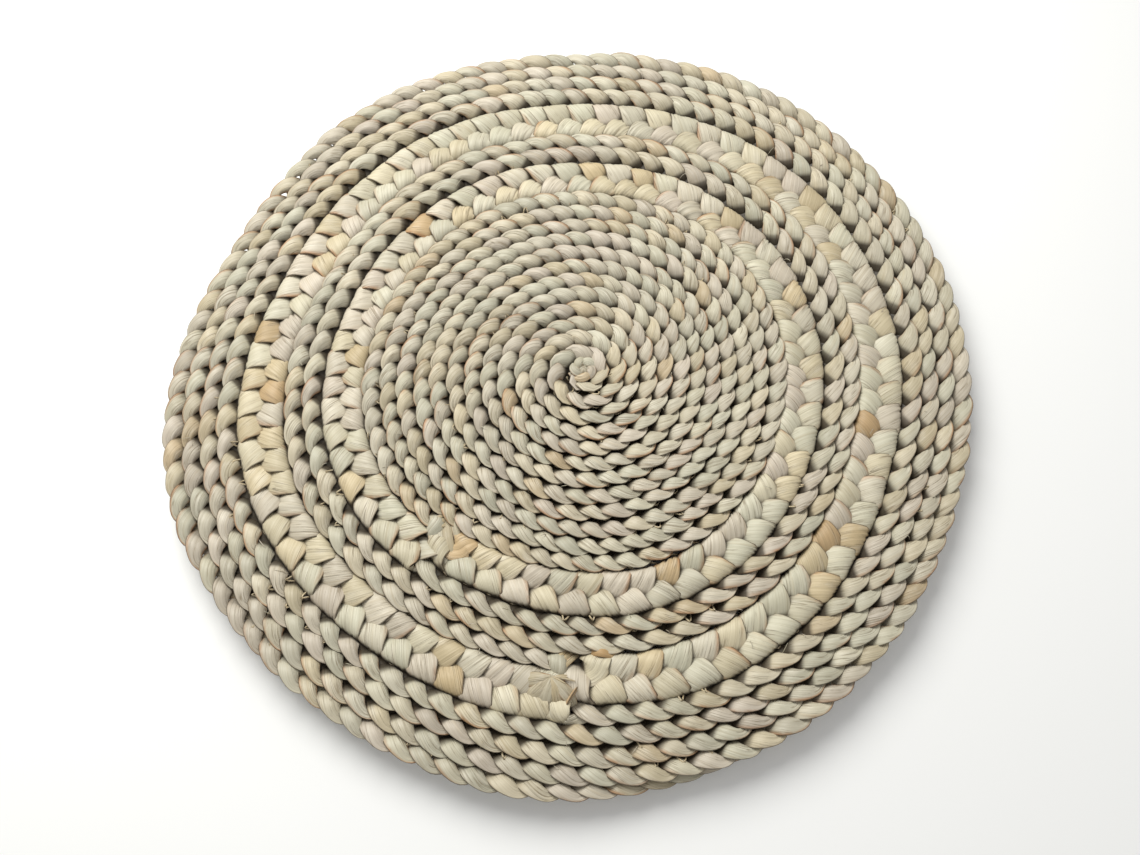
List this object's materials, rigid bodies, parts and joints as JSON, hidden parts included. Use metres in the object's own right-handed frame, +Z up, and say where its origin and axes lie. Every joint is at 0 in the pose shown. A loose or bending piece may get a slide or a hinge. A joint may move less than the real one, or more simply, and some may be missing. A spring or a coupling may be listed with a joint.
{
  "type": "chair seat pad",
  "caption": "Round flat seat pad of three-strand husk plait, coiled from the centre and sewn, with narrow plait on edge and two wide flat plait rings.",
  "frame": {"origin": "centre of the pad's box in plan, on the surface that it rests on", "axes": "+Z up through the pad's thickness, the coil winding anticlockwise outwards seen from +Z; +X and +Y in the plane of the pad"},
  "size_m": [0.3996, 0.4036, 0.018],
  "materials": {
    "narrow_husk": "dry plaited husk, soft satin, pale straw with pinkish and sage strands",
    "wide_husk": "broad dry husk leaves, soft satin with fine lengthwise fibres and pleats",
    "sewing_thread": "matt twisted plant-fibre thread",
    "husk_tie": "dry tan husk strip, wrapped"
  },
  "bodies": {
    "root": {"border_strand_a": "narrow_husk", "border_strand_b": "narrow_husk", "border_strand_c": "narrow_husk", "border_thread": "sewing_thread", "centre_knot": "husk_tie", "centre_strand_a": "narrow_husk", "centre_strand_b": "narrow_husk", "centre_strand_c": "narrow_husk", "centre_thread": "sewing_thread", "inner_start_binding": "husk_tie", "inner_wide_strand_a": "wide_husk", "inner_wide_strand_b": "wide_husk", "inner_wide_strand_c": "wide_husk", "inner_wide_thread": "sewing_thread", "middle_strand_a": "narrow_husk", "middle_strand_b": "narrow_husk", "middle_strand_c": "narrow_husk", "middle_thread": "sewing_thread", "outer_start_binding": "husk_tie", "outer_wide_strand_a": "wide_husk", "outer_wide_strand_b": "wide_husk", "outer_wide_strand_c": "wide_husk", "outer_wide_thread": "sewing_thread", "rim_end_binding": "husk_tie"}
  },
  "joints": []
}
